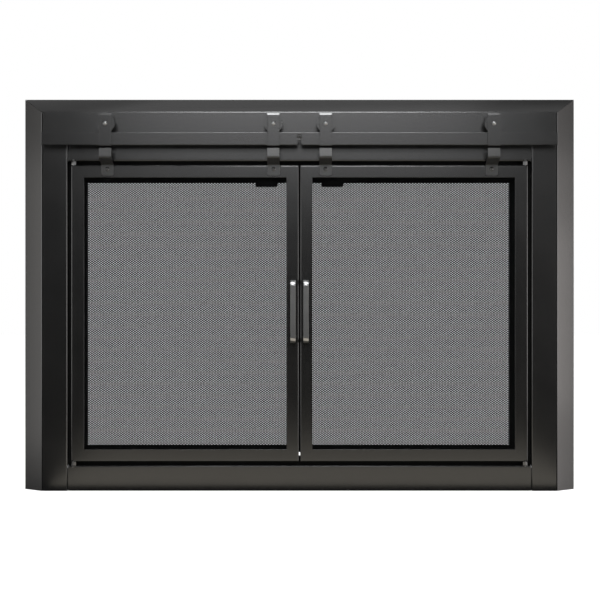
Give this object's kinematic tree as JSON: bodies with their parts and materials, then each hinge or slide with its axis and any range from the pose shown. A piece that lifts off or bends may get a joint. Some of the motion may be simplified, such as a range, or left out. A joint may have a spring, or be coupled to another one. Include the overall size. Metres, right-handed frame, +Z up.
{
  "type": "fireplace glass door",
  "caption": "Fireplace door set: bevelled steel surround, two hinged glass doors, mesh gates behind, and a track rail with straps and grooved wheels.",
  "frame": {"origin": "on the hearth, midway along the set, in the plane of the wall", "axes": "+X to the right seen from the front, +Y into the fireplace, +Z up; the doors face -Y"},
  "size_m": [1.156, 0.1442, 0.82],
  "materials": {
    "black_steel": "semi-gloss black powder coat",
    "dark_steel": "satin black paint",
    "zinc_steel": "zinc-plated steel",
    "tempered_glass": "clear tempered glass, lightly tinted",
    "gasket_tape": "woven fibreglass tape",
    "mesh_steel": "black steel mesh"
  },
  "bodies": {
    "surround_frame": {"surround_top": "black_steel", "surround_left": "black_steel", "surround_right": "black_steel", "corner_plates": "dark_steel", "top_member": "black_steel", "bottom_rail": "black_steel", "rail_end_brackets": "dark_steel", "frame_screws": "zinc_steel", "stop_left": "dark_steel", "stop_right": "dark_steel", "stop_top": "dark_steel", "stop_bottom": "dark_steel", "track_rail": "black_steel", "rail_standoffs": "black_steel", "rail_screws": "zinc_steel", "hanger_straps": "black_steel", "strap_spacers": "dark_steel", "strap_screws": "zinc_steel", "axle_bolts": "dark_steel", "axle_nuts": "zinc_steel", "catch_magnets": "zinc_steel", "door_pivot_pins": "zinc_steel", "door_pivot_nuts": "zinc_steel", "lintel_clamp_bars": "dark_steel", "lintel_clamp_screws": "zinc_steel", "lintel_bar_bolts": "zinc_steel", "floor_brackets": "dark_steel", "floor_bracket_bolts": "zinc_steel"},
    "door_left": {"door_frame_left": "black_steel", "door_glass_left": "tempered_glass", "glass_gasket_left": "gasket_tape", "glass_clips_left": "zinc_steel", "clip_screws_left": "zinc_steel", "handle_left": "black_steel", "handle_screws_left": "zinc_steel", "door_brackets_left": "black_steel", "bracket_screws_left": "dark_steel", "catch_strike_left": "zinc_steel"},
    "gate_left": {"gate_frame_left": "dark_steel", "gate_mesh_left": "mesh_steel", "gate_tab_left": "dark_steel"},
    "door_right": {"door_frame_right": "black_steel", "door_glass_right": "tempered_glass", "glass_gasket_right": "gasket_tape", "glass_clips_right": "zinc_steel", "clip_screws_right": "zinc_steel", "handle_right": "black_steel", "handle_screws_right": "zinc_steel", "door_brackets_right": "black_steel", "bracket_screws_right": "dark_steel", "catch_strike_right": "zinc_steel"},
    "gate_right": {"gate_frame_right": "dark_steel", "gate_mesh_right": "mesh_steel", "gate_tab_right": "dark_steel"},
    "wheel_1": {"wheel_1": "dark_steel"},
    "wheel_2": {"wheel_2": "dark_steel"},
    "wheel_3": {"wheel_3": "dark_steel"},
    "wheel_4": {"wheel_4": "dark_steel"}
  },
  "joints": [
    {"name": "door_left_hinge", "type": "hinge", "parent": "surround_frame", "child": "door_left", "pos_m": [-0.4715, -0.032, 0.37], "axis": [0, 0, -1], "range_deg": [0, 110]},
    {"name": "door_right_hinge", "type": "hinge", "parent": "surround_frame", "child": "door_right", "pos_m": [0.4715, -0.032, 0.37], "axis": [0, 0, 1], "range_deg": [0, 110]},
    {"name": "gate_left_hinge", "type": "hinge", "parent": "surround_frame", "child": "gate_left", "pos_m": [-0.456, -0.011, 0.37], "axis": [0, 0, 1], "range_deg": [0, 80]},
    {"name": "gate_right_hinge", "type": "hinge", "parent": "surround_frame", "child": "gate_right", "pos_m": [0.451, -0.011, 0.37], "axis": [0, 0, -1], "range_deg": [0, 80]},
    {"name": "wheel_1_spin", "type": "hinge", "parent": "surround_frame", "child": "wheel_1", "pos_m": [-0.4005, -0.0725, 0.7615], "axis": [0, -1, 0], "continuous": true},
    {"name": "wheel_2_spin", "type": "hinge", "parent": "surround_frame", "child": "wheel_2", "pos_m": [-0.054, -0.0725, 0.7615], "axis": [0, -1, 0], "continuous": true},
    {"name": "wheel_3_spin", "type": "hinge", "parent": "surround_frame", "child": "wheel_3", "pos_m": [0.054, -0.0725, 0.7615], "axis": [0, -1, 0], "continuous": true},
    {"name": "wheel_4_spin", "type": "hinge", "parent": "surround_frame", "child": "wheel_4", "pos_m": [0.4005, -0.0725, 0.7615], "axis": [0, -1, 0], "continuous": true}
  ]
}
